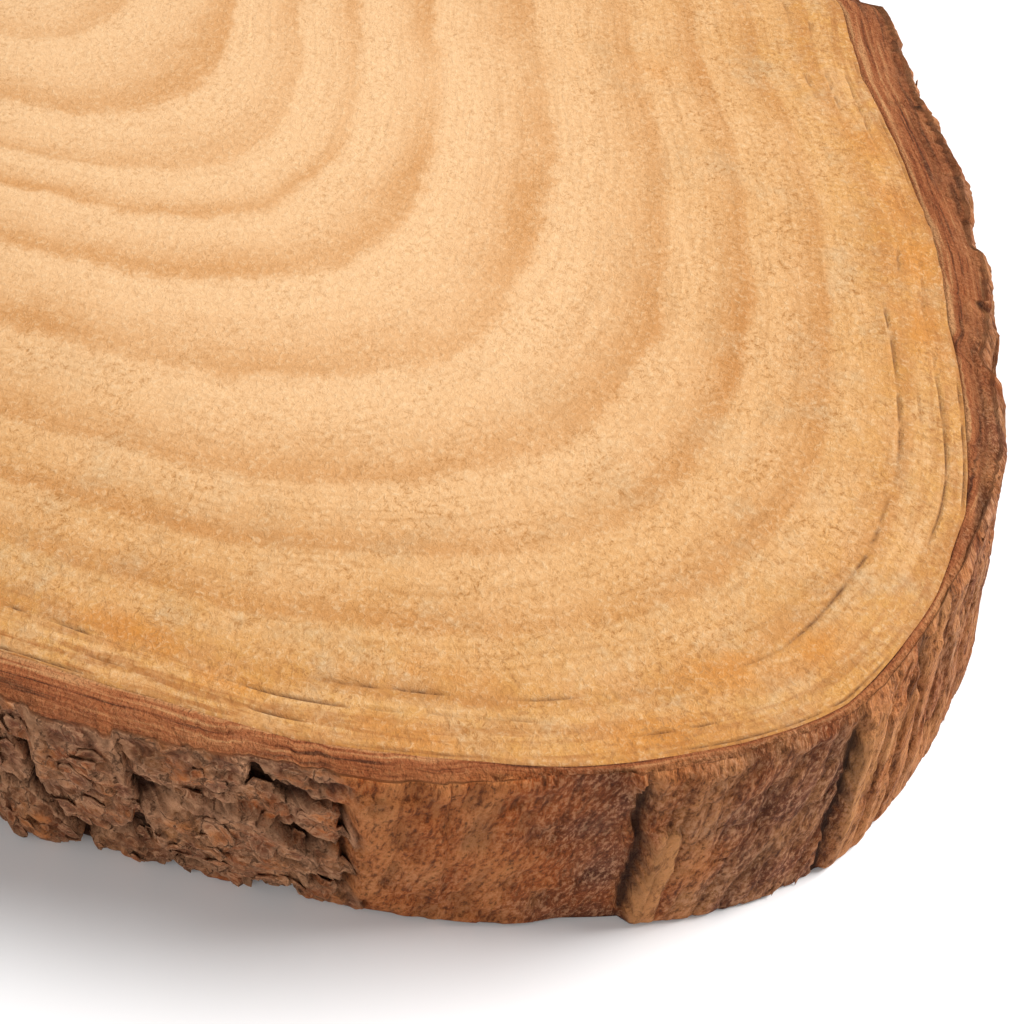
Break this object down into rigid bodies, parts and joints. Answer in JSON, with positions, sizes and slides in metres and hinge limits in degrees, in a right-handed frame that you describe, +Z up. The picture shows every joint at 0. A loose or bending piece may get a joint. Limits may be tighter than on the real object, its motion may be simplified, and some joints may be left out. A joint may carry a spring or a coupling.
{
  "type": "wood slice",
  "caption": "Flat round slice sawn straight across a tree trunk, with its growth rings showing on both faces and its bark left on around the edge.",
  "frame": {"origin": "under the middle of the slice's outline, on the lower sawn face it rests on", "axes": "+Z up out of the upper sawn face, +X along the longest width towards the trunk's bulge"},
  "size_m": [0.2586, 0.2066, 0.024],
  "materials": {
    "wood": "sawn, unfinished, matt",
    "bark": "rough furrowed bark, matt"
  },
  "bodies": {
    "root": {"wood_slice": "wood"}
  },
  "joints": []
}
